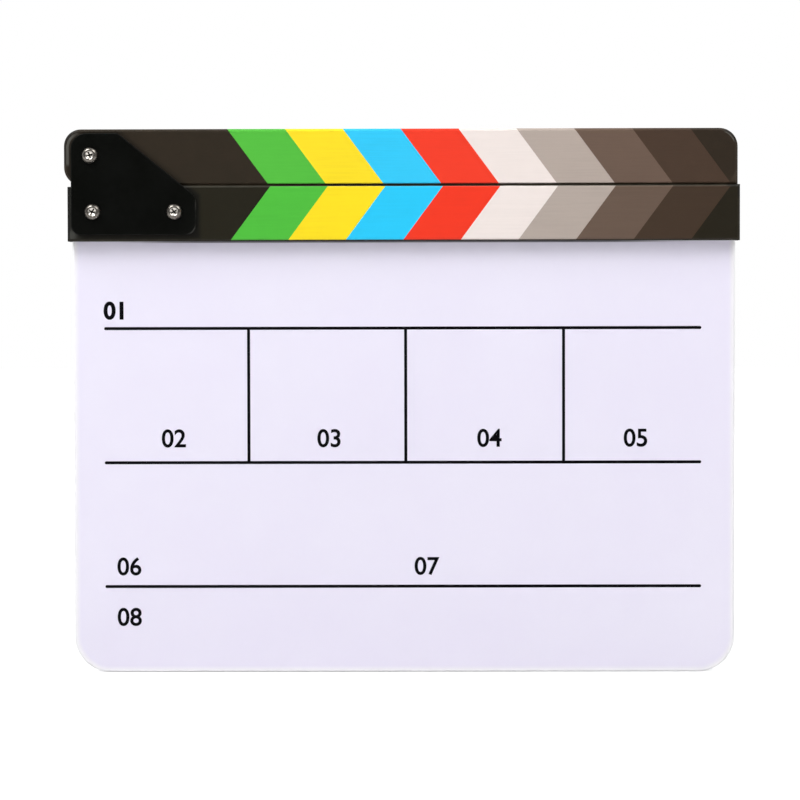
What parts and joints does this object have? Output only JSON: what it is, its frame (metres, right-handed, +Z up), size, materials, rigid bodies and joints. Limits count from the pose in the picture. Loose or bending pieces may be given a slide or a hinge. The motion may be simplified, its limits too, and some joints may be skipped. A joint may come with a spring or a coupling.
{
  "type": "clapperboard",
  "caption": "Hand-held film slate: a white sheet set in a fixed stick, with an upper stick that swings down on a plated hinge to clap on it.",
  "frame": {"origin": "middle of the slate's bottom edge, halfway through its thickness", "axes": "+X along the sticks from the hinge end to the free end, +Y from the printed front to the back, +Z up"},
  "size_m": [0.3015, 0.0235, 0.2435],
  "materials": {
    "slate_acrylic": "gloss milky white acrylic",
    "stick_paint": "satin black paint on wood",
    "plate_black": "satin black coated steel",
    "screw_plating": "bright nickel plate on steel",
    "nut_zinc": "zinc plate on steel",
    "sleeve_brass": "turned brass",
    "washer_nylon": "natural nylon",
    "magnet_plating": "nickel-plated magnet"
  },
  "bodies": {
    "slate": {"slate_board": "slate_acrylic", "lower_stick": "stick_paint", "lower_magnet": "magnet_plating", "front_hinge_plate": "plate_black", "rear_hinge_plate": "plate_black", "pivot_sleeve": "sleeve_brass", "front_pivot_washer": "washer_nylon", "rear_pivot_washer": "washer_nylon", "pivot_screw": "screw_plating", "pivot_lock_nut": "nut_zinc", "lock_nut_ring": "washer_nylon", "left_plate_screw": "screw_plating", "left_plate_nut": "nut_zinc", "right_plate_screw": "screw_plating", "right_plate_nut": "nut_zinc", "board_screw_1": "nut_zinc", "board_screw_2": "nut_zinc", "board_screw_3": "nut_zinc", "board_screw_4": "nut_zinc"},
    "clapper": {"upper_stick": "stick_paint", "upper_magnet": "magnet_plating"}
  },
  "joints": [
    {"name": "clap", "type": "hinge", "parent": "slate", "child": "clapper", "pos_m": [-0.1397, 0, 0.2318], "axis": [0, -1, 0], "range_deg": [0, 180]}
  ]
}
